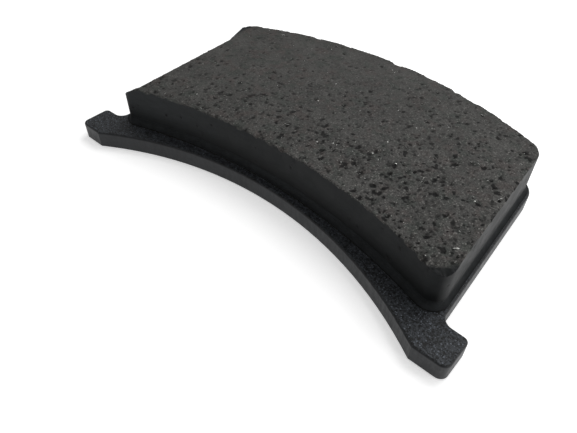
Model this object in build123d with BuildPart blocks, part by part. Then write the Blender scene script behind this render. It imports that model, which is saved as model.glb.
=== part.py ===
"""Disc brake pad: a pressed steel backing plate with a moulded friction block bonded to it.

The plate lies flat, its back face on Z = 0 and the friction face up. X runs along the pad and Y points
away from the wheel's axle. The origin is the middle of the back face, halfway between the inner edge of
the lugs and the crown of the outer edge. Everything but the chamfer, which is on the block's -X end,
mirrors about X = 0. All sizes are in millimetres.
"""

import os
from math import cos, hypot, radians, sin, sqrt, tan

from build123d import *

# Backing plate
pad_length = 120.0  # over the two lug ends
radial_height = 57.3  # crown of the inner edge to crown of the outer edge
plate_thickness = 5.0
inner_edge_radius = 99.0  # the edge hollows toward the axle side
outer_edge_radius = 111.8
side_lean = 3.1  # degrees that each side leans inward as it rises
plate_top_round = 0.5
plate_back_bevel = 0.4

# Lugs, the two feet that slide in the caliper bracket
lug_reach = 6.5  # from the side of the plate to the lug end
lug_width = 9.1
lug_shoulder_drop = 0.2  # the shoulder falls this much on its way out
lug_flat = 8.0  # straight inner edge of a lug, before the arc begins
lug_inner_radius = 1.9
lug_outer_radius = 1.3
step_radius = 2.6

# Keying holes, which the compound is moulded into
keying_hole_diameter = 9.0
keying_hole_taper = 1.0  # how far the mouth widens at the back face
keying_hole_spacing = 20.0
keying_hole_count = 4
plug_recess = 0.4  # the plug stops short of the back face

# Friction block
film_thickness = 0.2
underlayer_thickness = 2.0
friction_thickness = 9.8
crown_margin = 2.9  # from the plate's inner edge to the block, at the crown
foot_margin = 8.4  # from the lugs' inner edge up to the block's corners
block_inner_corner_radius = 3.3
block_outer_corner_radius = 5.2
foot_spread = 0.95  # the moulded foot reaches this far over the plate
foot_lip = 0.25
foot_radius = 0.9
foot_clearance = 0.05  # from the foot to where the plate's edge begins to round off
chamfer_length = 7.2
chamfer_angle = 35.0  # degrees below the friction face
chamfer_turn = 3.2  # degrees that the chamfer's top edge leans outward as it rises
chamfer_fall = 0.4  # deeper at its outer end than at its inner end
inner_ear = 1.0  # the chamfer leaves an ear standing at each corner
inner_ear_ramp = 2.5
inner_ear_rise = 0.7
outer_ear = 1.6
outer_ear_ramp = 9.0
outer_ear_rise = 1.7

half_length = pad_length / 2
root_x = half_length - lug_reach
arc_end_x = half_length - lug_flat
arch_depth = inner_edge_radius - sqrt(inner_edge_radius**2 - arc_end_x**2)
outer_crown_y = (radial_height + arch_depth) / 2
inner_crown_y = outer_crown_y - radial_height
lug_inner_y = -outer_crown_y
root_y = lug_inner_y + lug_width
outer_centre_y = outer_crown_y - outer_edge_radius
edge_margin = foot_spread + foot_clearance + plate_top_round
plate_corner_radius = block_outer_corner_radius + edge_margin
film_top = plate_thickness + film_thickness
underlayer_top = film_top + underlayer_thickness
pad_top = underlayer_top + friction_thickness
side_up = (-sin(radians(side_lean)), cos(radians(side_lean)))


def side_point(inset, height):
    """The point of the +X side line at a height Y, moved inward by an inset."""
    base_x = root_x - inset / cos(radians(side_lean))
    return (base_x - (height - root_y) * tan(radians(side_lean)), height)


def side_meets_outer(inset, radius):
    """Where the +X side line, moved inward by an inset, meets an arc about the outer edge's centre."""
    start_x, start_y = side_point(inset, root_y)
    along = start_x * side_up[0] + (start_y - outer_centre_y) * side_up[1]
    gap = hypot(start_x, start_y - outer_centre_y) ** 2 - radius**2
    reach = sqrt(along**2 - gap) - along
    return (start_x + reach * side_up[0], start_y + reach * side_up[1])


def mirrored(point):
    return (-point[0], point[1])


foot_corner = side_point(edge_margin, lug_inner_y + foot_margin)


def plate_face():
    """The plate's outline as a face."""
    arc_end = (arc_end_x, lug_inner_y)
    lug_corner = (half_length, lug_inner_y)
    lug_tip = (half_length, root_y - lug_shoulder_drop)
    root = (root_x, root_y)
    top_corner = side_meets_outer(0, outer_edge_radius)
    right = [arc_end, lug_corner, lug_tip, root, top_corner]
    radii = {
        lug_corner: lug_inner_radius,
        lug_tip: lug_outer_radius,
        root: step_radius,
        top_corner: plate_corner_radius,
    }
    with BuildSketch() as face:
        with BuildLine():
            ThreePointArc(mirrored(arc_end), (0, inner_crown_y), arc_end)
            Polyline(*right)
            ThreePointArc(top_corner, (0, outer_crown_y), mirrored(top_corner))
            Polyline(*[mirrored(point) for point in reversed(right)])
        make_face()
        for corner, radius in radii.items():
            for place in (corner, mirrored(corner)):
                fillet(face.vertices().sort_by_distance(place)[0], radius)
    return face.sketch


def block_face(spread=0.0):
    """The block's outline as a face, grown outward by a spread."""
    top_corner = side_meets_outer(edge_margin, outer_edge_radius - edge_margin)
    radii = {foot_corner: block_inner_corner_radius, top_corner: block_outer_corner_radius}
    with BuildSketch() as face:
        with BuildLine():
            ThreePointArc(mirrored(foot_corner), (0, inner_crown_y + crown_margin), foot_corner)
            Line(foot_corner, top_corner)
            ThreePointArc(top_corner, (0, outer_crown_y - edge_margin), mirrored(top_corner))
            Line(mirrored(top_corner), mirrored(foot_corner))
        make_face()
        for corner, radius in radii.items():
            for place in (corner, mirrored(corner)):
                fillet(face.vertices().sort_by_distance(place)[0], radius)
        if spread:
            offset(amount=spread, kind=Kind.ARC)
    return face.sketch


def chamfer_section():
    """The section of what the chamfer takes away, across its slope: deeper between the two ears."""
    slope = radians(chamfer_angle)
    turn = radians(chamfer_turn)
    top_x = chamfer_length - foot_corner[0]
    outer_y = outer_centre_y + sqrt((outer_edge_radius - edge_margin) ** 2 - top_x**2)
    run = (outer_y - foot_corner[1]) / cos(turn)
    along = (-sin(turn), cos(turn), 0)
    up_slope = (cos(turn) * cos(slope), sin(turn) * cos(slope), sin(slope))
    above = chamfer_length + outer_ear_rise
    plane = Plane(origin=(top_x, foot_corner[1], pad_top), x_dir=along, z_dir=up_slope)
    with BuildSketch(plane) as section:
        with BuildLine():
            Polyline(
                (-run, inner_ear_rise),
                (inner_ear, inner_ear_rise),
                (inner_ear + inner_ear_ramp, 0),
                (run - outer_ear - outer_ear_ramp, -chamfer_fall),
                (run - outer_ear, outer_ear_rise),
                (2 * run, outer_ear_rise),
                (2 * run, above),
                (-run, above),
                close=True,
            )
        make_face()
    return section.sketch


def keying_places():
    """Centres of the keying holes, on an arc midway across the block and about the outer edge's centre."""
    radius = outer_edge_radius - radial_height / 2
    step = keying_hole_spacing / radius
    first = -step * (keying_hole_count - 1) / 2
    angles = [first + step * index for index in range(keying_hole_count)]
    return [(radius * sin(a), outer_centre_y + radius * cos(a)) for a in angles]


def keying_section(low, high):
    """Half the section of a keying hole from one height to another, wider toward the back face."""
    radius = keying_hole_diameter / 2
    low_radius = radius + keying_hole_taper - low
    with BuildSketch(Plane.XZ) as section:
        with BuildLine():
            Polyline(
                (0, low),
                (low_radius, low),
                (radius, keying_hole_taper),
                (radius, high),
                (0, high),
                close=True,
            )
        make_face()
    return section.sketch


with BuildPart() as keying_cutter:
    revolve(keying_section(0, plate_thickness), axis=Axis.Z)

with BuildPart() as keying_plug:
    revolve(keying_section(plug_recess, film_top), axis=Axis.Z)

with BuildPart() as film_cutter:
    with BuildSketch(Plane.XY.offset(plate_thickness)):
        Circle(keying_hole_diameter / 2)
    extrude(amount=film_thickness)

with BuildPart() as backing_plate:
    with BuildSketch():
        add(plate_face())
    extrude(amount=plate_thickness)
    fillet(edges().group_by(Axis.Z)[-1], plate_top_round)
    chamfer(edges().group_by(Axis.Z)[0], plate_back_bevel)
    with Locations(*keying_places()):
        add(keying_cutter.part, mode=Mode.SUBTRACT)

with BuildPart() as bond_film:
    with BuildSketch(Plane.XY.offset(plate_thickness)):
        add(block_face(foot_spread))
    extrude(amount=film_thickness)
    with Locations(*keying_places()):
        add(film_cutter.part, mode=Mode.SUBTRACT)

with BuildPart() as underlayer:
    with BuildSketch(Plane.XY.offset(film_top)):
        add(block_face(foot_spread))
    extrude(amount=foot_lip)
    with BuildSketch(Plane.XY.offset(film_top)):
        add(block_face())
    extrude(amount=underlayer_thickness)
    lip_face = faces().filter_by(Axis.Z).group_by(Axis.Z)[1][0]
    fillet(lip_face.inner_wires()[0].edges(), foot_radius)
    with Locations(*keying_places()):
        add(keying_plug.part)

with BuildPart() as friction_block:
    with BuildSketch(Plane.XY.offset(underlayer_top)):
        add(block_face())
    extrude(amount=friction_thickness)
    extrude(chamfer_section(), amount=2 * chamfer_length, both=True, mode=Mode.SUBTRACT)

pieces = {
    "backing_plate": backing_plate,
    "bond_film": bond_film,
    "underlayer": underlayer,
    "friction_block": friction_block,
}

os.makedirs("parts", exist_ok=True)
for name, piece in pieces.items():
    piece.part.label = name
    export_step(piece.part, f"parts/{name}.step")
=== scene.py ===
"""Disc brake pad: the finish of its painted steel plate and of the moulded compound bonded to it.

The four CAD pieces are loaded as a fixed frame. The plate, the bond film and the underlayer keep their
CAD shape and get finishes. The friction block is built again at the same outline as a broken, pitted
and chipped surface, with steel flecks and fibres lying in its face. Lengths are in metres unless a name
ends in mm.
"""

import math

import bpy
import numpy as np
from bpy.props import FloatProperty, FloatVectorProperty, IntProperty, PointerProperty
from mathutils import Matrix, Vector, kdtree
from mathutils.bvhtree import BVHTree


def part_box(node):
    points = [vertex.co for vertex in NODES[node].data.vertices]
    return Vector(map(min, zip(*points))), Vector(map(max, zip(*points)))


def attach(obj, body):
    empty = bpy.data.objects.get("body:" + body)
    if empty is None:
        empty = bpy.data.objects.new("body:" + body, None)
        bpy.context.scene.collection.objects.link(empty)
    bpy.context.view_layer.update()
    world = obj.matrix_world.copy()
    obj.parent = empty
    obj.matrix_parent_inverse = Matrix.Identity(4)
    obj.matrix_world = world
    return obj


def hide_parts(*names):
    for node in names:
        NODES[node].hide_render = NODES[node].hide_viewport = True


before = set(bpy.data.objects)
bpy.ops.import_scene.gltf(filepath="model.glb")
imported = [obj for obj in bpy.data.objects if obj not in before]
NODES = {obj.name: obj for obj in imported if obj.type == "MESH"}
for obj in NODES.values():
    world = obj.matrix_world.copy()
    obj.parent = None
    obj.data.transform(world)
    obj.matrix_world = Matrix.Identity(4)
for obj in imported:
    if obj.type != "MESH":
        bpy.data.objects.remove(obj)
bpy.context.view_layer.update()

bl_info = {
    "name": "Disc Brake Pad",
    "version": (1, 0, 0),
    "blender": (4, 5, 0),
    "location": "3D View > Sidebar > Brake Pad",
    "description": "Builds the friction block, the finishes and the stage of a disc brake pad",
    "category": "Object",
}

MM = 0.001
BLOCK_LOW, BLOCK_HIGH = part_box("friction_block")
BLOCK_FOOT, PAD_TOP = BLOCK_LOW.z, BLOCK_HIGH.z

# Seeds of the random draws
BLOCK_SEED, PIT_SEED, FLECK_SEED = 7, 8, 21

# Mesh of the friction block
PLAN_SHRINK = 0.997  # keeps rays cast at the block's outline inside it
STEP_GROWTH = 1.45  # from one row of the mesh to the next, away from an edge
WALL_STEP = 0.42 * MM
WALL_EDGE_STEP = 0.12 * MM

# Shape of its broken edge, its grains and its walls
NEAR_CORNER = (1.0, -1.0)  # the way to the corner that is broken off
COARSE_WAY = (0.6, -0.8)  # the way that the grain gets coarser across the face
WOBBLE_WAVES = (23, 67, 131, 211, 307, 401, 509)  # waves round the edge
BITE_CURVE = 0.7  # under 1, a bite falls steeply at its rim
CORNER_CHIP_SPREAD = 3.0 * MM
CORNER_HALF_WIDTH = 5.6 * MM
CORNER_REACH_MM, CORNER_REACH_WOBBLE_MM = 3.0, 0.30  # how far in the broken corner goes
CORNER_DEPTH, CORNER_DEPTH_WOBBLE = 1.5 * MM, 0.12 * MM
EAR_SKIN_MM, EAR_SKIN_FADE_MM = 2.6, 1.2  # moulded skin left on the ears, in from the edge
EAR_RISE_MM, EAR_RISE_FADE_MM = 0.15, 0.45  # above the chamfer, where an ear begins
TORN_SHARE = 0.55  # of the dark grains, which leave a pit
PIT_SHRINK = 0.95
RIM_PITS = 1.2 * MM  # pits get shallow nearer to the edge than this
FACE_GRIT = 0.012 * MM
CHIP_GRIT = 0.05 * MM
VOID_DEPTH = 0.25 * MM
VOID_MARGINS = 1 * MM, 0.8 * MM  # kept clear of the foot and of the top

# Colours within the compound, the paint and the adhesive
RUST_DUST = (0.0575, 0.0495, 0.0468)
GREEN_DUST = (0.0405, 0.0450, 0.0408)
CRUMB = (0.150, 0.146, 0.138)
SPARK = (0.24, 0.235, 0.22)
# Painted shade: near black painted into the voids of the walls.
VOID_SHADE = (0.003, 0.003, 0.003)
PLUG_END = (0.045, 0.043, 0.040)
ADHESIVE_DARK = (0.008, 0.007, 0.006)
ADHESIVE_PALE = (0.013, 0.010, 0.007)

# Steel in the face
FLECK_SIDES = 6
FLECK_SINK = 0.03 * MM
FLECK_HEIGHT = 0.10 * MM
OUTLINE_MARGIN = 0.6 * MM
CHIP_LENGTH, CHIP_WIDTH, CHIP_TURN = 1.9 * MM, 0.55 * MM, math.radians(25)

# Stage, in metres
FLOOR_HALF = 1.5
FLOOR_GAP = 0.05 * MM  # below the plate's back face
RIGHT_SOFTBOX_PLACE, RIGHT_SOFTBOX_SIZE = (0.42, 0.06, 0.16), (0.30, 0.22)
TOP_SOFTBOX_PLACE, TOP_SOFTBOX_SIZE = (0.05, 0.30, 0.45), (0.40, 0.40)
CAMERA_TARGET = Vector((12.62, -27.49, 8.0)) * MM
SENSOR_MM = 36.0
CLIP_START = 5 * MM


# Sizes and colours


class BlockSettings(bpy.types.PropertyGroup):
    """The friction block's surface."""

    mesh_step: FloatProperty(
        name="Mesh step",
        description="Spacing of the mesh over the friction face",
        default=0.30 * MM,
        min=0.2 * MM,
        subtype="DISTANCE",
        unit="LENGTH",
    )
    edge_step: FloatProperty(
        name="Edge step",
        description="Spacing of the mesh next to the block's edges",
        default=0.07 * MM,
        subtype="DISTANCE",
        unit="LENGTH",
    )
    edge_round: FloatProperty(
        name="Edge round",
        description="Rounding left on the friction face's edge where it isn't chipped",
        default=0.24 * MM,
        subtype="DISTANCE",
        unit="LENGTH",
    )
    chip_count: IntProperty(name="Chips", description="Chips broken from the top edge", default=230, min=0)
    corner_chip_count: IntProperty(
        name="Corner chips", description="How many of the chips lie about the +X, -Y corner", default=9, min=0
    )
    chip_size: FloatProperty(
        name="Chip size",
        description="Half the length of the largest chips along the edge",
        default=1.3 * MM,
        subtype="DISTANCE",
        unit="LENGTH",
    )
    grain_count: IntProperty(
        name="Dark grains", description="Dark grains and pits in the friction face", default=3400, min=0
    )
    grain_size: FloatProperty(
        name="Grain size",
        description="Half the width of the largest dark grains",
        default=0.80 * MM,
        subtype="DISTANCE",
        unit="LENGTH",
    )
    pit_depth: FloatProperty(
        name="Pit depth",
        description="Depth of the deepest pits left by torn-out grains",
        default=0.45 * MM,
        subtype="DISTANCE",
        unit="LENGTH",
    )
    wall_pit_count: IntProperty(name="Wall pits", description="Small voids in the moulded walls", default=70)
    face_color: FloatVectorProperty(
        name="Face",
        description="Colour of the compound where the friction face cuts it",
        subtype="COLOR",
        size=3,
        default=(0.0510, 0.0502, 0.0477),
    )
    grain_color: FloatVectorProperty(
        name="Dark grain",
        description="Colour of the coke and graphite grains",
        subtype="COLOR",
        size=3,
        default=(0.006, 0.006, 0.006),
    )
    wall_color: FloatVectorProperty(
        name="Wall",
        description="Colour of the moulded skin on the curved walls",
        subtype="COLOR",
        size=3,
        default=(0.0092, 0.0102, 0.0108),
    )
    # Painted sheen: this paler colour is painted high on the end walls, fading toward the foot and toward -Y.
    end_sheen_color: FloatVectorProperty(
        name="End wall",
        description="Colour of the ground end walls",
        subtype="COLOR",
        size=3,
        default=(0.0235, 0.0240, 0.0242),
    )


class FleckSettings(bpy.types.PropertyGroup):
    """Steel in the compound."""

    fleck_count: IntProperty(name="Flecks", description="Bright steel flecks in the face", default=320)
    fibre_count: IntProperty(name="Fibres", description="Short steel fibres in the face", default=150)
    chip_place: FloatVectorProperty(
        name="Chip place",
        description="X and Y in millimetres of the one large steel chip, near the face's +X, -Y corner",
        size=2,
        default=(49.0, -18.8),
    )
    fleck_color: FloatVectorProperty(
        name="Steel", description="Colour of the steel", subtype="COLOR", size=3, default=(0.50, 0.50, 0.48)
    )


class PlateSettings(bpy.types.PropertyGroup):
    """The backing plate's paint."""

    paint_color: FloatVectorProperty(
        name="Paint",
        description="Colour of the powder coat",
        subtype="COLOR",
        size=3,
        default=(0.0125, 0.0140, 0.0160),
    )
    # Painted glints: this bright colour is painted on random grains of the paint's flat faces.
    painted_glint_color: FloatVectorProperty(
        name="Glint",
        description="Colour of the brightest grains of the paint",
        subtype="COLOR",
        size=3,
        default=(0.125, 0.140, 0.165),
    )
    grain_size: FloatProperty(
        name="Paint grain",
        description="Width of the paint's sandy grain",
        default=0.40 * MM,
        subtype="DISTANCE",
        unit="LENGTH",
    )


class StageSettings(bpy.types.PropertyGroup):
    """Camera, light and floor."""

    lens_mm: FloatProperty(name="Lens", description="Focal length on a 36 mm sensor", default=33.5)
    azimuth: FloatProperty(
        name="Azimuth", description="Camera's turn round the pad", default=math.radians(41.03), unit="ROTATION"
    )
    elevation: FloatProperty(
        name="Elevation", description="Camera's height angle", default=math.radians(45.09), unit="ROTATION"
    )
    roll: FloatProperty(
        name="Roll", description="Camera's turn about its own axis", default=math.radians(0.5), unit="ROTATION"
    )
    distance: FloatProperty(
        name="Distance", description="Camera to its target", default=125.02 * MM, unit="LENGTH"
    )
    floor_color: FloatVectorProperty(
        name="Floor", description="Colour of the floor", subtype="COLOR", size=3, default=(0.86, 0.86, 0.86)
    )
    floor_glow: FloatProperty(name="Floor glow", description="Light given off by the lit table", default=0.45)
    sky: FloatProperty(name="Room", description="Strength of the even light of the room", default=0.42)
    right_watts: FloatProperty(name="Right softbox", description="Power of the softbox at +X", default=0.62)
    top_watts: FloatProperty(
        name="Top softbox", description="Power of the softbox behind and above", default=1.85
    )


class BrakePadSettings(bpy.types.PropertyGroup):
    """All settings of the brake pad."""

    block: PointerProperty(type=BlockSettings)
    flecks: PointerProperty(type=FleckSettings)
    plate: PointerProperty(type=PlateSettings)
    stage: PointerProperty(type=StageSettings)


# Shader expressions

MIX_COLOURS, MIX_RESULT = (6, 7), 2  # a Mix node's sockets for colours


class Wire:
    """A value in a finish. Python arithmetic on it adds Math nodes."""

    def __init__(self, finish, socket):
        self.finish = finish
        self.socket = socket

    def math(self, operation, *values):
        """The Math node of that operation, on this value and the others."""
        return self.finish.add("ShaderNodeMath", {"operation": operation}, dict(enumerate((self, *values))))

    def __add__(self, other):
        return self.math("ADD", other)

    __radd__ = __add__

    def __mul__(self, other):
        return self.math("MULTIPLY", other)

    __rmul__ = __mul__

    def __sub__(self, other):
        return self.math("SUBTRACT", other)

    def __rsub__(self, other):
        return (self * -1.0) + other

    def absolute(self):
        return self.math("ABSOLUTE")

    def also(self, output):
        """Another output of the node that this value comes from."""
        return Wire(self.finish, self.socket.node.outputs[output])

    def ramp(self, low, high, start=0.0, end=1.0):
        """A smooth step from start to end as this value goes from low to high."""
        settings = {"interpolation_type": "SMOOTHSTEP"}
        return self.finish.add("ShaderNodeMapRange", settings, {0: self, 1: low, 2: high, 3: start, 4: end})


class Finish:
    """A material and the nodes that make it."""

    def __init__(self, name):
        self.material = bpy.data.materials.new(name)
        self.material.use_nodes = True
        self.tree = self.material.node_tree
        self.tree.nodes.clear()
        self.place = self.scaled(self.add("ShaderNodeTexCoord", output="Object"), 1 / MM)

    def add(self, kind, settings=None, inputs=None, output=0):
        """Adds a node: its settings first, then a value or a wire for each named socket."""
        node = self.tree.nodes.new(kind)
        for name, value in (settings or {}).items():
            setattr(node, name, value)
        for name, value in (inputs or {}).items():
            if isinstance(value, Wire):
                self.tree.links.new(value.socket, node.inputs[name])
            else:
                node.inputs[name].default_value = value
        return Wire(self, node.outputs[output]) if node.outputs else None

    def scaled(self, vector, amount):
        """A vector or a colour times a value, or a vector times another part by part."""
        if isinstance(amount, tuple):
            return self.add("ShaderNodeVectorMath", {"operation": "MULTIPLY"}, {0: vector, 1: amount})
        return self.add("ShaderNodeVectorMath", {"operation": "SCALE"}, {0: vector, "Scale": amount})

    def noise(self, size_mm, detail=2.0, rough=0.5, place=None, output=0):
        """Cloudy noise whose features are about size_mm across."""
        inputs = {"Vector": place or self.place, "Scale": 1 / size_mm, "Detail": detail, "Roughness": rough}
        return self.add("ShaderNodeTexNoise", {}, inputs, output)

    def warped(self, size_mm, amount_mm):
        """The place, pushed about by noise."""
        push = self.noise(size_mm, 1.0, output="Color")
        centred = self.add("ShaderNodeVectorMath", {"operation": "SUBTRACT"}, {0: push, 1: (0.5, 0.5, 0.5)})
        inputs = {0: centred, 1: (amount_mm * 2,) * 3, 2: self.place}
        return self.add("ShaderNodeVectorMath", {"operation": "MULTIPLY_ADD"}, inputs)

    def cells(self, size_mm, place):
        """Voronoi cells: the distance to each cell's point in cell widths, and two random values for each."""
        inputs = {"Vector": place, "Scale": 1 / size_mm}
        reach = self.add("ShaderNodeTexVoronoi", {}, inputs, "Distance")
        chance = self.add("ShaderNodeSeparateColor", {}, {0: reach.also("Color")}, "Red")
        return reach, chance, chance.also("Green")

    def blend(self, factor, first, second):
        """The first colour where factor is 0, the second where it is 1."""
        inputs = {0: factor}
        for socket, colour in zip(MIX_COLOURS, (first, second)):
            inputs[socket] = colour if isinstance(colour, Wire) else (*colour, 1.0)
        return self.add("ShaderNodeMix", {"data_type": "RGBA"}, inputs, MIX_RESULT)

    def attribute(self, name):
        return self.add("ShaderNodeAttribute", {"attribute_name": name}, {}, "Fac")

    def parts(self, vector):
        """A vector's X, Y and Z parts."""
        first = self.add("ShaderNodeSeparateXYZ", {}, {0: vector}, "X")
        return first, first.also("Y"), first.also("Z")

    def up(self):
        """How far the surface faces up, from -1 to 1."""
        return self.parts(self.add("ShaderNodeNewGeometry", output="Normal"))[2]

    def bump(self, height, depth_mm, below=None):
        """A normal tilted by a height of 0 to 1 that stands for a depth."""
        inputs = {"Height": height, "Distance": depth_mm * MM, "Strength": 1.0}
        if below:
            inputs["Normal"] = below
        return self.add("ShaderNodeBump", {}, inputs)

    def surface(self, **sockets):
        """Ends the material in a Principled shader."""
        inputs = {name.replace("_", " "): value for name, value in sockets.items()}
        shader = self.add("ShaderNodeBsdfPrincipled", {}, inputs)
        self.add("ShaderNodeOutputMaterial", {}, {"Surface": shader})
        return self.material


# Mesh tools


def new_piece(name, points, faces, material, smooth=True):
    """A mesh object in the scene, in one material."""
    mesh = bpy.data.meshes.new(name)
    mesh.from_pydata(points, [], faces)
    mesh.polygons.foreach_set("use_smooth", [smooth] * len(mesh.polygons))
    mesh.materials.append(material)
    mesh.update()
    piece = bpy.data.objects.new(name, mesh)
    bpy.context.scene.collection.objects.link(piece)
    return piece


def set_attribute(mesh, name, values):
    """Stores one number for each point, which a finish can read."""
    layer = mesh.attributes.new(name, "FLOAT", "POINT")
    layer.data.foreach_set("value", np.asarray(values, dtype=np.float32))


def loop_lengths(points):
    """Distance along a line of points, from 0 at its first."""
    steps = np.linalg.norm(np.diff(points, axis=0), axis=1)
    return np.concatenate([[0.0], np.cumsum(steps)])


def along(points, shares):
    """Points at the given shares of a line's length."""
    lengths = loop_lengths(points)
    at = np.asarray(shares) * lengths[-1]
    return np.column_stack([np.interp(at, lengths, points[:, axis]) for axis in (0, 1)])


def graded(length, step, edge_step):
    """Shares of a length from 0 to 1, close together at both ends and a step apart between."""
    close = []
    gap = edge_step
    while gap < step:
        close.append(gap)
        gap *= STEP_GROWTH
    middle = length - 2 * sum(close)
    count = max(1, round(middle / step))
    gaps = close + [middle / count] * count + close[::-1]
    return np.concatenate([[0.0], np.cumsum(gaps)]) / length


def smooth_step(value):
    value = np.clip(value, 0.0, 1.0)
    return value * value * (3 - 2 * value)


def block_outline():
    """The friction block's outline at its foot, anticlockwise, read from the CAD mesh."""
    mesh = NODES["friction_block"].data
    at = {
        (round(v.co.x, 6), round(v.co.y, 6))
        for v in mesh.vertices
        if abs(v.co.z - BLOCK_FOOT) < 0.01 * MM
    }
    middle = np.array([0.0, (BLOCK_LOW.y + BLOCK_HIGH.y) / 2])
    points = np.array(sorted(at))
    angles = np.arctan2(*(points - middle).T[::-1])
    return points[np.argsort(angles)]


def block_sides(outline):
    """The outline cut at the middle of its four rounded corners: inner, right, outer and left sides.

    The inner and outer sides run toward +X, and the end walls run toward +Y.
    """
    toward = {"inner_left": (-1, -1), "inner_right": (1, -1), "outer_right": (1, 1), "outer_left": (-1, 1)}
    cut = {name: int(np.argmax(outline @ np.array(way))) for name, way in toward.items()}

    def run(first, last):
        count = (cut[last] - cut[first]) % len(outline) + 1
        return outline[(cut[first] + np.arange(count)) % len(outline)]

    inner = run("inner_left", "inner_right")
    right = run("inner_right", "outer_right")
    outer = run("outer_right", "outer_left")[::-1]
    left = run("outer_left", "inner_left")[::-1]
    return inner, right, outer, left


def inside_outline(outline, x, y, margin):
    """True where a point lies inside an outline by more than a margin."""
    following = np.roll(outline, -1, axis=0)
    crosses = (outline[:, 1] > y) != (following[:, 1] > y)
    rise = np.where(crosses, following[:, 1] - outline[:, 1], 1.0)
    at = outline[:, 0] + (y - outline[:, 1]) / rise * (following[:, 0] - outline[:, 0])
    if np.count_nonzero(crosses & (at > x)) % 2 == 0:
        return False
    run = following - outline
    share = ((x - outline[:, 0]) * run[:, 0] + (y - outline[:, 1]) * run[:, 1]) / (run**2).sum(axis=1)
    nearest = outline + np.clip(share, 0, 1)[:, None] * run
    return np.hypot(nearest[:, 0] - x, nearest[:, 1] - y).min() > margin


def top_heights(plan):
    """Heights of the CAD block's top at points of its plan, and how far they stand above the chamfer."""
    mesh = NODES["friction_block"].data
    tree = BVHTree.FromPolygons(
        [vertex.co for vertex in mesh.vertices], [polygon.vertices for polygon in mesh.polygons]
    )
    sloped = [face for face in mesh.polygons if 0.5 < face.normal.z < 0.99 and face.normal.x < 0]
    if not sloped:
        raise RuntimeError("the friction block has no chamfered end")
    chamfer = max(sloped, key=lambda face: face.area)
    normal, point = chamfer.normal, chamfer.center
    heights = []
    for x, y in plan:
        start = Vector((x * PLAN_SHRINK, y * PLAN_SHRINK, PAD_TOP + MM))
        hit, slope, _, _ = tree.ray_cast(start, Vector((0, 0, -1)))
        if hit is None:
            raise RuntimeError("a point of the plan lies outside the friction block")
        heights.append(hit.z - (slope.x * (x - hit.x) + slope.y * (y - hit.y)) / slope.z)
    heights = np.minimum(heights, PAD_TOP)
    run = normal.x * (plan[:, 0] - point.x) + normal.y * (plan[:, 1] - point.y)
    return heights, heights - (point.z - run / normal.z)


def scattered(rng, count, low, high):
    """Random points in a box."""
    return rng.uniform(low, high, size=(count, len(low)))


def grain_field(x, y, centres, sizes, rng):
    """How deep each point lies in the nearest grain, from 0 outside to 1 at a grain's middle."""
    field = np.zeros(len(x))
    for (cx, cy), size in zip(centres, sizes):
        stretch = rng.uniform(1.0, 1.7)
        turn = rng.uniform(0, math.pi)
        strength = rng.uniform(0.45, 1.0)
        lobes = [(k, rng.uniform(0.05, 0.22), rng.uniform(0, 2 * math.pi)) for k in (2, 3, 5)]
        span = size * stretch * 1.5
        near = np.flatnonzero((np.abs(x - cx) < span) & (np.abs(y - cy) < span))
        if not len(near):
            continue
        dx, dy = x[near] - cx, y[near] - cy
        along_axis = dx * math.cos(turn) + dy * math.sin(turn)
        across = -dx * math.sin(turn) + dy * math.cos(turn)
        angle = np.arctan2(across, along_axis / stretch)
        reach = size * (1 + sum(a * np.cos(k * angle + phase) for k, a, phase in lobes))
        ratio = np.hypot(along_axis / stretch, across) / reach
        field[near] = np.maximum(field[near], strength * smooth_step(1.35 - ratio))
    return field


# Friction block


def cut_colour(finish, settings, vigour, fine, dust):
    """The ground cut's colour with its dust, crumbs and soot, and where steel glints in it."""
    cloud = finish.noise(7.0, 3.0, 0.6)
    patch = finish.noise(3.0, 2.0, 0.6)
    rust = finish.noise(3.6, 2.0, 0.6, finish.scaled(finish.place, (1.0, 1.0, 2.0)))
    bend = finish.warped(0.8, 0.22)

    dull, pale = (tuple(part * share for part in settings.face_color) for share in (0.94, 1.20))
    colour = finish.blend(cloud.ramp(0.35, 0.65), dull, pale)
    colour = finish.blend(rust.ramp(0.50, 0.66, 0.0, 0.65), colour, RUST_DUST)
    colour = finish.blend(patch.ramp(0.50, 0.34, 0.0, 0.70), colour, GREEN_DUST)
    colour = finish.scaled(colour, (fine - 0.5) * vigour * 2.8 + 1.0)
    colour = finish.scaled(colour, (dust - 0.5) * vigour * 2.2 + 1.0)

    reach, chance, shade = finish.cells(0.46, bend)
    crumb = reach.ramp(0.50, 0.30) * chance.ramp(0.56, 0.64)
    colour = finish.blend(crumb * shade.ramp(0.2, 0.9, 0.1, 0.85) * vigour, colour, CRUMB)
    reach, chance, _ = finish.cells(1.05, bend)
    soot = reach.ramp(0.56, 0.26) * chance.ramp(0.74, 0.80)
    colour = finish.blend(soot * vigour * 0.68, colour, settings.grain_color)
    smear = finish.noise(1.7, 2.0, 0.55).ramp(0.53, 0.68)
    colour = finish.scaled(colour, 1.04 - smear * 0.22)
    reach, chance, _ = finish.cells(0.55, finish.warped(0.5, 0.12))
    spark = reach.ramp(0.26, 0.16) * chance.ramp(0.90, 0.92) * vigour
    return finish.blend(spark, colour, SPARK), spark


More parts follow.
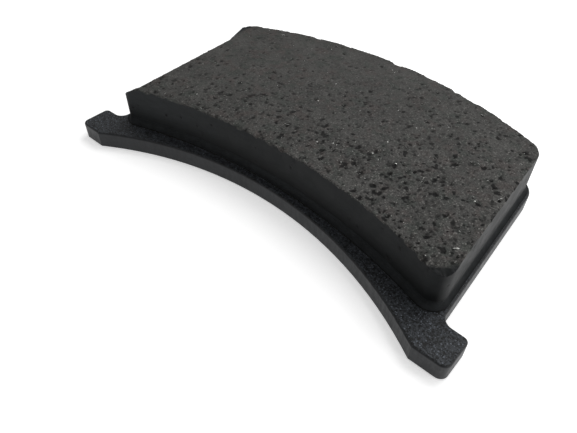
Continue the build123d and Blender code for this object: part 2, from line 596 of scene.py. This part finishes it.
def skin_colour(finish, settings, cloud, streak, dust):
    """The moulded skin's colour, with painted light: a painted sheen high on the end walls, painted shade near
    the foot (partly a darker compound) and in the voids, and the skin painted paler toward -X.
    """
    x, y, z = finish.parts(finish.place)
    # Painted shade, partly a darker compound: low rises from 0 to 1 as the skin nears the foot, between 12.4
    # and 7.8 mm up, and darkens it.
    low = (z + (cloud - 0.5) * 1.6).ramp(12.4, 7.8)
    # Painted sheen: ground holds a painted sheen on the end walls, palest high up and fading toward the foot
    # and toward -Y.
    ground = finish.attribute("end_wall") * (1 - low * 0.92) * y.ramp(-19.0, 15.0, 0.22, 1.0)
    colour = finish.blend(ground, settings.wall_color, settings.end_sheen_color)
    colour = finish.scaled(colour, (1 - low * 0.48) * cloud.ramp(0.25, 0.75, 0.84, 1.18))
    # Painted light: the skin is painted up to 1.75 times paler toward -X.
    colour = finish.scaled(colour, x.ramp(-6.0, -44.0, 1.0, 1.75))
    colour = finish.scaled(colour, streak.ramp(0.3, 0.7, 0.88, 1.12) * dust.ramp(0.2, 0.8, 0.88, 1.12))
    # Painted shade: the voids in the walls are painted near black.
    return finish.blend(finish.attribute("void").ramp(0.3, 0.6), colour, VOID_SHADE)


def compound_finish(settings):
    """The compound: cut and grainy on the friction face, a dark moulded skin on its walls."""
    finish = Finish("friction_compound")
    face = finish.attribute("cut_face")
    x, y, _ = finish.parts(finish.place)
    coarse = (x * COARSE_WAY[0] + y * COARSE_WAY[1]).ramp(-42.0, 34.0)
    vigour = coarse * 0.64 + 0.36
    fine = finish.noise(0.50, 3.0, 0.70)
    dust = finish.noise(0.24, 2.0, 0.8)
    grit = finish.noise(0.22, 3.0, 0.8)
    cloud = finish.noise(3.5, 3.0, 0.6)
    streak = finish.noise(1.1, 3.0, 0.6, finish.scaled(finish.place, (0.3, 0.12, 1.0)))

    dark = finish.attribute("dark_grain")
    torn = (dark + (fine - 0.5) * 0.7 + (dust - 0.5) * 0.35).ramp(0.30, 0.72)
    colour, spark = cut_colour(finish, settings, vigour, fine, dust)
    colour = finish.blend(torn * (coarse * 0.40 + 0.50), colour, settings.grain_color)
    skin = skin_colour(finish, settings, cloud, streak, dust)

    relief = finish.bump((fine * 0.5 + grit * 0.5 - torn * 0.5) * face * vigour, 0.08)
    relief = finish.bump(cloud * 0.5 + streak * 0.3 + grit * 0.2, 0.03, relief)
    rough = finish.noise(1.2, 2.0, 0.6).ramp(0.3, 0.7, 0.58, 0.76) + torn * 0.15
    skin_rough = cloud.ramp(0.3, 0.7, 0.50, 0.64)
    return finish.surface(
        Base_Color=finish.blend(face, skin, colour),
        Roughness=rough * face + skin_rough * (1 - face),
        Metallic=spark * face,
        Normal=relief,
        Specular_IOR_Level=0.13,
    )


def stretched_grid(sides, us, vs):
    """Points of a grid stretched over four sides, in rows along the inner side."""
    inner, right, outer, left = sides
    u, v = np.meshgrid(us, vs)
    u, v = u[..., None], v[..., None]
    inner, outer = along(inner, us)[None], along(outer, us)[None]
    left, right = along(left, vs)[:, None], along(right, vs)[:, None]
    plan = (1 - v) * inner + v * outer + (1 - u) * left + u * right
    plan -= (1 - u) * (1 - v) * inner[:, :1] + u * (1 - v) * inner[:, -1:]
    plan -= (1 - u) * v * outer[:, :1] + u * v * outer[:, -1:]
    return plan.reshape(-1, 2)


class Edge:
    """The outline of the block's plan, and where each point of the plan lies beside it."""

    def __init__(self, plan, rim):
        self.points = plan[rim]
        lengths = loop_lengths(np.vstack([self.points, self.points[:1]]))
        self.girth, self.at = lengths[-1], lengths[:-1]
        tree = kdtree.KDTree(len(self.points))
        for number, (x, y) in enumerate(self.points):
            tree.insert((x, y, 0), number)
        tree.balance()
        found = [tree.find((x, y, 0)) for x, y in plan]
        self.inset = np.array([hit[2] for hit in found])
        self.station = self.at[[hit[1] for hit in found]]
        self.corner = self.at[int(np.argmax(self.points @ np.array(NEAR_CORNER)))]

    def bite(self, place, half_width, reach):
        """How deep each point lies in a bite taken from the edge at a place, from 0 outside to 1."""
        away = np.abs((self.station - place + self.girth / 2) % self.girth - self.girth / 2) / half_width
        return np.clip(1 - away**2, 0, 1) * np.clip(1 - self.inset / reach, 0, 1)

    def wobble(self, rng):
        """A wavy value along the edge, which makes its rounding and its broken corner uneven."""
        around = self.station * 2 * math.pi
        waves = np.zeros(len(around))
        for count in WOBBLE_WAVES:
            strength = rng.uniform(0.3, 1.0)
            waves += strength * np.sin(around * count / self.girth + rng.uniform(0, 6.3))
        return waves

    def outward(self):
        """The way out of the block at each point of the outline."""
        tangent = np.roll(self.points, -1, axis=0) - np.roll(self.points, 1, axis=0)
        outward = np.column_stack([tangent[:, 1], -tangent[:, 0]])
        return outward / np.linalg.norm(outward, axis=1)[:, None]


def rounding(radius, inset):
    """How far the edge's rounding lowers each point of the face."""
    inside = np.clip(radius - inset, 0, None)
    return radius - np.sqrt(np.clip(radius**2 - inside**2, 0, None))


def edge_chips(rng, settings, edge):
    """How far chips lower each point of the face, and how deep it lies in one, from 0 to 1."""
    drop, chipped = np.zeros(len(edge.inset)), np.zeros(len(edge.inset))
    for number in range(settings.chip_count):
        centre = rng.uniform(0, edge.girth)
        size = settings.chip_size * (0.20 + 0.80 * rng.random() ** 4)
        if number < settings.corner_chip_count:
            centre = edge.corner + rng.normal(0, CORNER_CHIP_SPREAD)
            size = settings.chip_size * rng.uniform(0.5, 1.5)
        half_width = size * rng.uniform(0.7, 1.6)
        reach = size * rng.uniform(0.35, 0.8)
        fall = size * rng.uniform(0.3, 0.8)
        bite = edge.bite(centre, half_width, reach)
        drop = np.maximum(drop, fall * bite**BITE_CURVE)
        chipped = np.maximum(chipped, bite)
    return drop, chipped


def coarseness(points, low, high):
    """How coarse the grain is at each point of the face, from 0 to 1."""
    side = ((points - low) / (high - low)) @ np.array(COARSE_WAY) - COARSE_WAY[1]
    return smooth_step(side / 1.1)


def face_grains(rng, settings, plan):
    """How deep each point lies in a dark grain, and in a pit that a grain has left, from 0 to 1."""
    x, y = plan.T
    low, high = plan.min(axis=0), plan.max(axis=0)
    centres = scattered(rng, settings.grain_count, low, high)
    centres = centres[rng.random(len(centres)) < 0.35 + 0.65 * coarseness(centres, low, high)]
    count = len(centres)
    largest = settings.grain_size * (0.20 + 0.80 * rng.random(count) ** 3.0)
    sizes = largest * (0.62 + 0.38 * coarseness(centres, low, high))
    dark = grain_field(x, y, centres, sizes, rng)
    torn_out = rng.random(count) < TORN_SHARE
    pit_rng = np.random.default_rng(PIT_SEED)
    pits = grain_field(x, y, centres[torn_out], sizes[torn_out] * PIT_SHRINK, pit_rng)
    return dark, pits


def walls(rng, settings, edge, outward, rim_top):
    """The walls' points, in rings from below the rim to the foot, and how deep each lies in a void."""
    levels = 1 - graded(PAD_TOP - BLOCK_FOOT, WALL_STEP, WALL_EDGE_STEP)[1:]
    height = BLOCK_FOOT + levels[:, None] * (rim_top - BLOCK_FOOT)[None]
    at = np.broadcast_to(edge.at, height.shape)
    low, high = (0, BLOCK_FOOT + VOID_MARGINS[0]), (edge.girth, PAD_TOP - VOID_MARGINS[1])
    places = scattered(rng, settings.wall_pit_count, low, high)
    sizes = (0.16 + 0.34 * rng.random(len(places)) ** 2) * MM
    void = grain_field(at.ravel(), height.ravel(), places, sizes, rng).reshape(height.shape)
    x, y = (edge.points[None, :, axis] - outward[None, :, axis] * void * VOID_DEPTH for axis in (0, 1))
    return np.dstack([x, y, height]), void


def block_faces(index, rim, ring_count):
    """Faces of the grid on top, of the rings of wall under its rim, and of the foot that closes them."""
    corners = index[:-1, :-1], index[:-1, 1:], index[1:, 1:], index[1:, :-1]
    faces = np.stack(corners, axis=-1).reshape(-1, 4).tolist()
    count = len(rim)
    rings = [rim] + [index.size + ring * count + np.arange(count) for ring in range(ring_count)]
    for upper, lower in zip(rings, rings[1:]):
        quads = (upper, lower, np.roll(lower, -1), np.roll(upper, -1))
        faces += np.stack(quads, axis=-1).tolist()
    faces.append(rings[-1][::-1].tolist())
    return faces


def cut_shown(plan, edge, above_chamfer, broken):
    """How much of the ground cut shows at each point: none on the ears or on the broken corner."""
    ear = smooth_step((above_chamfer / MM - EAR_RISE_MM) / EAR_RISE_FADE_MM)
    ear *= smooth_step((EAR_SKIN_MM - edge.inset / MM) / EAR_SKIN_FADE_MM)
    ear *= plan[:, 0] < -0.5 * plan[:, 0].max()
    return 1 - np.maximum(ear, smooth_step((broken - 0.30) / 0.25))


class BRAKEPAD_OT_friction_block(bpy.types.Operator):
    """Builds the friction block with its grain, pits, chipped edge and moulded walls"""

    bl_idname = "brakepad.friction_block"
    bl_label = "Friction block"

    def execute(self, context):
        settings = context.scene.brake_pad.block
        rng = np.random.default_rng(BLOCK_SEED)
        sides = block_sides(block_outline())
        inner, right, _, _ = sides
        us, vs = (
            graded(loop_lengths(side)[-1], settings.mesh_step, settings.edge_step) for side in (inner, right)
        )
        plan = stretched_grid(sides, us, vs)
        index = np.arange(len(plan)).reshape(len(vs), len(us))
        rim = np.concatenate([index[0, :-1], index[:-1, -1], index[-1, :0:-1], index[:0:-1, 0]])
        edge = Edge(plan, rim)
        top, above_chamfer = top_heights(plan)

        wobble = edge.wobble(rng)
        drop = rounding(settings.edge_round * np.clip(1 + 0.45 * wobble, 0.2, None), edge.inset)
        chip_drop, chipped = edge_chips(rng, settings, edge)
        corner_reach = (CORNER_REACH_MM + CORNER_REACH_WOBBLE_MM * wobble) * MM
        broken = edge.bite(edge.corner, CORNER_HALF_WIDTH, corner_reach)
        corner_drop = (CORNER_DEPTH + CORNER_DEPTH_WOBBLE * wobble) * broken**BITE_CURVE
        drop = np.maximum(np.maximum(drop, chip_drop), corner_drop)

        dark, pits = face_grains(rng, settings, plan)
        drop += pits * settings.pit_depth * np.interp(edge.inset, [0, RIM_PITS], [0.3, 1.0])
        beyond_edge = edge.inset > settings.edge_step
        drop += rng.normal(0, FACE_GRIT, len(plan)) * beyond_edge
        drop += chipped * rng.normal(0, CHIP_GRIT, len(plan)) * beyond_edge
        face_points = np.column_stack([plan, top - np.clip(drop, 0, None)])

        outward = edge.outward()
        wall_points, void = walls(rng, settings, edge, outward, face_points[rim, 2])
        points = np.vstack([face_points, wall_points.reshape(-1, 3)])
        faces = block_faces(index, rim, len(wall_points))
        block = new_piece("friction_block_compound", points.tolist(), faces, compound_finish(settings))

        shown = cut_shown(plan, edge, above_chamfer, broken)
        shown[rim] *= smooth_step((drop[rim] - 0.1 * MM) / (0.15 * MM))
        flatness = smooth_step((np.abs(outward[:, 0]) - 0.70) / 0.28)
        end_wall = np.zeros(len(plan))
        end_wall[rim] = flatness
        no_face, no_wall = np.zeros(len(plan)), np.zeros(void.size)
        set_attribute(block.data, "cut_face", [*shown, *no_wall])
        set_attribute(block.data, "dark_grain", [*dark, *no_wall])
        set_attribute(block.data, "void", [*no_face, *void.ravel()])
        set_attribute(block.data, "end_wall", [*end_wall, *np.tile(flatness, len(wall_points))])
        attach(block, "root")
        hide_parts("friction_block")
        return {"FINISHED"}


# Flecks


def steel_finish(settings):
    """Bright torn steel."""
    finish = Finish("fleck_steel")
    tone = finish.noise(0.5, 2.0).ramp(0.3, 0.7, 0.6, 1.2)
    return finish.surface(
        Base_Color=finish.scaled(settings.fleck_color[:], tone),
        Metallic=1.0,
        Roughness=finish.noise(0.3).ramp(0.3, 0.7, 0.25, 0.5),
    )


def sliver(rng, centre, length, width, height, turn):
    """Points and faces of one torn sliver of steel, its face tilted a little."""
    tilt = Matrix.Rotation(rng.uniform(-0.35, 0.35), 3, "X")
    tilt = tilt @ Matrix.Rotation(rng.uniform(-0.25, 0.25), 3, "Y")
    spin = Matrix.Rotation(turn, 3, "Z")
    upper, lower = [], []
    for side in range(FLECK_SIDES):
        angle = 2 * math.pi * side / FLECK_SIDES
        reach = rng.uniform(0.7, 1.15)
        flat = Vector((math.cos(angle) * length / 2 * reach, math.sin(angle) * width / 2 * reach, 0))
        upper.append(centre + spin @ (tilt @ flat))
        lower.append(centre + spin @ (tilt @ (flat * 1.25)) - Vector((0, 0, height)))
    crown = centre + Vector((0, 0, height * 0.25))
    points = [crown] + upper + lower
    faces = []
    for side in range(FLECK_SIDES):
        after = (side + 1) % FLECK_SIDES
        faces.append((0, 1 + side, 1 + after))
        faces.append((1 + side, 1 + FLECK_SIDES + side, 1 + FLECK_SIDES + after, 1 + after))
    faces.append(tuple(1 + FLECK_SIDES + side for side in reversed(range(FLECK_SIDES))))
    return points, faces


def fleck_size(rng, number, settings):
    """Length and width of a fleck, then of a fibre, and last of the one large chip."""
    if number < settings.fleck_count:
        length = (0.16 + 0.60 * rng.random() ** 5) * MM
        return length, length * rng.uniform(0.3, 0.7)
    if number < settings.fleck_count + settings.fibre_count:
        return rng.uniform(0.6, 1.8) * MM, rng.uniform(0.05, 0.09) * MM
    return CHIP_LENGTH, CHIP_WIDTH


class BRAKEPAD_OT_steel_flecks(bpy.types.Operator):
    """Lays steel flecks and fibres in the friction face"""

    bl_idname = "brakepad.steel_flecks"
    bl_label = "Steel flecks"

    def execute(self, context):
        settings = context.scene.brake_pad.flecks
        rng = np.random.default_rng(FLECK_SEED)
        outline = block_outline()
        low, high = outline.min(axis=0), outline.max(axis=0)
        places = []
        while len(places) < settings.fleck_count + settings.fibre_count:
            x, y = rng.uniform(low, high)
            if inside_outline(outline, x, y, OUTLINE_MARGIN):
                places.append((x, y))
        places.append(np.array(settings.chip_place) * MM)
        heights, _ = top_heights(np.array(places))
        points, faces = [], []
        for number, ((x, y), z) in enumerate(zip(places, heights)):
            length, width = fleck_size(rng, number, settings)
            turn = rng.uniform(0, math.pi) if number < len(places) - 1 else CHIP_TURN
            centre = Vector((x, y, z - FLECK_SINK))
            new_points, new_faces = sliver(rng, centre, length, width, FLECK_HEIGHT, turn)
            start = len(points)
            points += new_points
            faces += [tuple(start + corner for corner in face) for face in new_faces]
        flecks = new_piece("steel_flecks", points, faces, steel_finish(settings), smooth=False)
        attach(flecks, "root")
        return {"FINISHED"}


# Plate, film and underlayer


def paint_finish(settings):
    """Black powder coat: sandy on the flat faces, smoother on the sheared edge walls. Its light is partly
    painted: the flat faces are painted paler than the edge walls, the rounded rim is darkened as painted
    shade, and painted glints lie on the grain.
    """
    finish = Finish("plate_paint")
    grain_mm = settings.grain_size / MM
    up = finish.up()
    flat = up.absolute().ramp(0.55, 0.9)
    grain = finish.noise(grain_mm, 2.0, 0.7)
    speckle = finish.noise(grain_mm * 0.55, 2.0, 0.7)
    lump = finish.noise(1.3, 2.0, 0.5)
    cloud = finish.noise(9.0, 3.0, 0.55)
    # rim marks the rounded edge round the flat faces, which is darkened below as painted shade.
    rim = (up + (lump - 0.5) * 0.5).ramp(0.15, 0.55) * (up + (lump - 0.5) * 0.06).ramp(0.999, 0.97)
    reach, chance, shade = finish.cells(grain_mm * 1.1, finish.warped(0.4, 0.12))
    colour = finish.scaled(settings.paint_color[:], cloud.ramp(0.3, 0.7, 0.86, 1.16))
    colour = finish.scaled(colour, (grain.ramp(0.38, 0.62, 0.0, 2.2) - 1.0) * flat + 1.0)
    # Painted light and shade: the flat faces are painted paler than the edge walls, and the rounded rim is
    # painted darker.
    colour = finish.scaled(colour, (flat * 0.50 + 0.84) * (1 - rim * 0.38))
    # Painted glints: random grains on the flat faces get a bright colour in place of light caught by their
    # facets, with none on the rim.
    painted_glint = reach.ramp(0.45, 0.22) * chance.ramp(0.36, 0.46) * (flat * 0.96 + 0.04) * (1 - rim)
    colour = finish.blend(painted_glint * shade.ramp(0.0, 1.0, 0.05, 0.85), colour, settings.painted_glint_color)
    scuff = finish.noise(0.8, 4.0, 0.7, finish.scaled(finish.place, (1.0, 1.0, 0.25)))
    height = (grain * 0.6 + speckle * 0.5 + lump * 0.3) * flat + (lump * 0.25 + scuff * 0.12) * (1 - flat)
    rough = speckle.ramp(0.3, 0.7, 0.40, 0.66) * flat + scuff.ramp(0.3, 0.7, 0.42, 0.56) * (1 - flat)
    return finish.surface(
        Base_Color=colour,
        Roughness=rough,
        Normal=finish.bump(height, 0.22),
        Specular_IOR_Level=0.3,
    )


def underlayer_finish(block_settings):
    """The moulded foot of the block and its plugs."""
    finish = Finish("underlayer_compound")
    cloud = finish.noise(2.4, 3.0, 0.6)
    grit = finish.noise(0.3, 3.0, 0.75)
    reach, chance, _ = finish.cells(0.8, finish.warped(0.7, 0.2))
    speck = reach.ramp(0.5, 0.3) * chance.ramp(0.75, 0.8)
    below = finish.up().ramp(-0.9, -0.97)
    # Painted light: the underlayer's walls are painted 1.45 times paler than the block's skin, against the
    # shade in the foot.
    wall = tuple(part * 1.45 for part in block_settings.wall_color)
    colour = finish.scaled(finish.blend(below, wall, PLUG_END), cloud.ramp(0.3, 0.7, 0.8, 1.2))
    colour = finish.blend(speck * below, colour, block_settings.grain_color)
    return finish.surface(
        Base_Color=colour,
        Roughness=grit.ramp(0.3, 0.7, 0.66, 0.85),
        Normal=finish.bump(cloud * 0.6 + grit * 0.4 - speck * 0.5, 0.06),
        Specular_IOR_Level=0.12,
    )


def adhesive_finish():
    """Cured phenolic adhesive, brown and slightly glossy."""
    finish = Finish("adhesive")
    cloud = finish.noise(1.5, 3.0, 0.6)
    return finish.surface(
        Base_Color=finish.blend(cloud.ramp(0.3, 0.7), ADHESIVE_DARK, ADHESIVE_PALE),
        Roughness=cloud.ramp(0.3, 0.7, 0.35, 0.55),
        Normal=finish.bump(cloud, 0.03),
        Specular_IOR_Level=0.2,
    )


def dress(node, material):
    """Gives a CAD node its finish."""
    slots = NODES[node].material_slots
    if not slots:
        raise RuntimeError(f"{node} has no material slot")
    for slot in slots:
        slot.material = material


class BRAKEPAD_OT_backing_plate(bpy.types.Operator):
    """Paints the backing plate"""

    bl_idname = "brakepad.backing_plate"
    bl_label = "Backing plate"

    def execute(self, context):
        dress("backing_plate", paint_finish(context.scene.brake_pad.plate))
        return {"FINISHED"}


class BRAKEPAD_OT_underlayer(bpy.types.Operator):
    """Finishes the underlayer, its plugs and the bond film"""

    bl_idname = "brakepad.underlayer"
    bl_label = "Underlayer and bond film"

    def execute(self, context):
        dress("underlayer", underlayer_finish(context.scene.brake_pad.block))
        dress("bond_film", adhesive_finish())
        return {"FINISHED"}


# Stage


def soft_light(name, place, size, watts):
    """A softbox that shines at the pad's origin."""
    lamp = bpy.data.lights.new(name, "AREA")
    lamp.shape = "RECTANGLE"
    lamp.size, lamp.size_y = size
    lamp.energy = watts
    light = bpy.data.objects.new(name, lamp)
    light.location = place
    light.rotation_mode = "QUATERNION"
    light.rotation_quaternion = (-Vector(place)).to_track_quat("-Z", "Y")
    bpy.context.scene.collection.objects.link(light)


class BRAKEPAD_OT_stage(bpy.types.Operator):
    """Sets up the floor, the soft light and the camera"""

    bl_idname = "brakepad.stage"
    bl_label = "Stage"

    def execute(self, context):
        settings = context.scene.brake_pad.stage
        scene = context.scene
        finish = Finish("floor")
        pale = finish.noise(60.0, 2.0).ramp(0.3, 0.7, 0.985, 1.0)
        material = finish.surface(
            Base_Color=finish.scaled(settings.floor_color[:], pale),
            Roughness=0.9,
            Emission_Color=(1.0, 1.0, 1.0, 1.0),
            Emission_Strength=settings.floor_glow,
        )
        ways = ((-1, -1), (1, -1), (1, 1), (-1, 1))
        corners = [(x * FLOOR_HALF, y * FLOOR_HALF, -FLOOR_GAP) for x, y in ways]
        floor = new_piece("floor", corners, [(0, 1, 2, 3)], material, smooth=False)

        world = bpy.data.worlds.new("studio")
        world.use_nodes = True
        background = world.node_tree.nodes["Background"]
        background.inputs["Color"].default_value = (1.0, 1.0, 1.0, 1.0)
        background.inputs["Strength"].default_value = settings.sky
        scene.world = world
        soft_light("right_softbox", RIGHT_SOFTBOX_PLACE, RIGHT_SOFTBOX_SIZE, settings.right_watts)
        soft_light("top_softbox", TOP_SOFTBOX_PLACE, TOP_SOFTBOX_SIZE, settings.top_watts)

        azimuth, elevation, roll = settings.azimuth, settings.elevation, settings.roll
        level = Vector((math.sin(azimuth), -math.cos(azimuth), 0))
        back = level * math.cos(elevation) + Vector((0, 0, math.sin(elevation)))
        across = (-back).cross(Vector((0, 0, 1))).normalized()
        upright = across.cross(-back)
        right = across * math.cos(roll) + upright * math.sin(roll)
        up = -across * math.sin(roll) + upright * math.cos(roll)
        turned = Matrix((right, up, back)).transposed().to_4x4()
        camera = bpy.data.objects.new("camera", bpy.data.cameras.new("camera"))
        camera.data.sensor_width = SENSOR_MM
        camera.data.lens = settings.lens_mm
        camera.data.clip_start = CLIP_START
        camera.matrix_world = Matrix.Translation(CAMERA_TARGET + back * settings.distance) @ turned
        scene.collection.objects.link(camera)
        scene.camera = camera
        scene.view_settings.view_transform = "Standard"
        return {"FINISHED"}


# Panel and registration


class BRAKEPAD_PT_panel(bpy.types.Panel):
    """Lists the pieces of the brake pad"""

    bl_idname = "BRAKEPAD_PT_panel"
    bl_label = "Brake Pad"
    bl_space_type = "VIEW_3D"
    bl_region_type = "UI"
    bl_category = "Brake Pad"

    def draw(self, context):
        for operator in OPERATORS:
            self.layout.operator(operator.bl_idname)


SETTINGS = (BlockSettings, FleckSettings, PlateSettings, StageSettings, BrakePadSettings)
OPERATORS = (
    BRAKEPAD_OT_friction_block,
    BRAKEPAD_OT_steel_flecks,
    BRAKEPAD_OT_backing_plate,
    BRAKEPAD_OT_underlayer,
    BRAKEPAD_OT_stage,
)


def register():
    for kind in (*SETTINGS, *OPERATORS, BRAKEPAD_PT_panel):
        bpy.utils.register_class(kind)
    bpy.types.Scene.brake_pad = PointerProperty(type=BrakePadSettings)


def unregister():
    del bpy.types.Scene.brake_pad
    for kind in (BRAKEPAD_PT_panel, *reversed(OPERATORS), *reversed(SETTINGS)):
        bpy.utils.unregister_class(kind)


def main():
    """Builds the whole pad."""
    register()
    bpy.ops.brakepad.friction_block()
    bpy.ops.brakepad.steel_flecks()
    bpy.ops.brakepad.backing_plate()
    bpy.ops.brakepad.underlayer()
    bpy.ops.brakepad.stage()


if __name__ == "__main__":
    main()
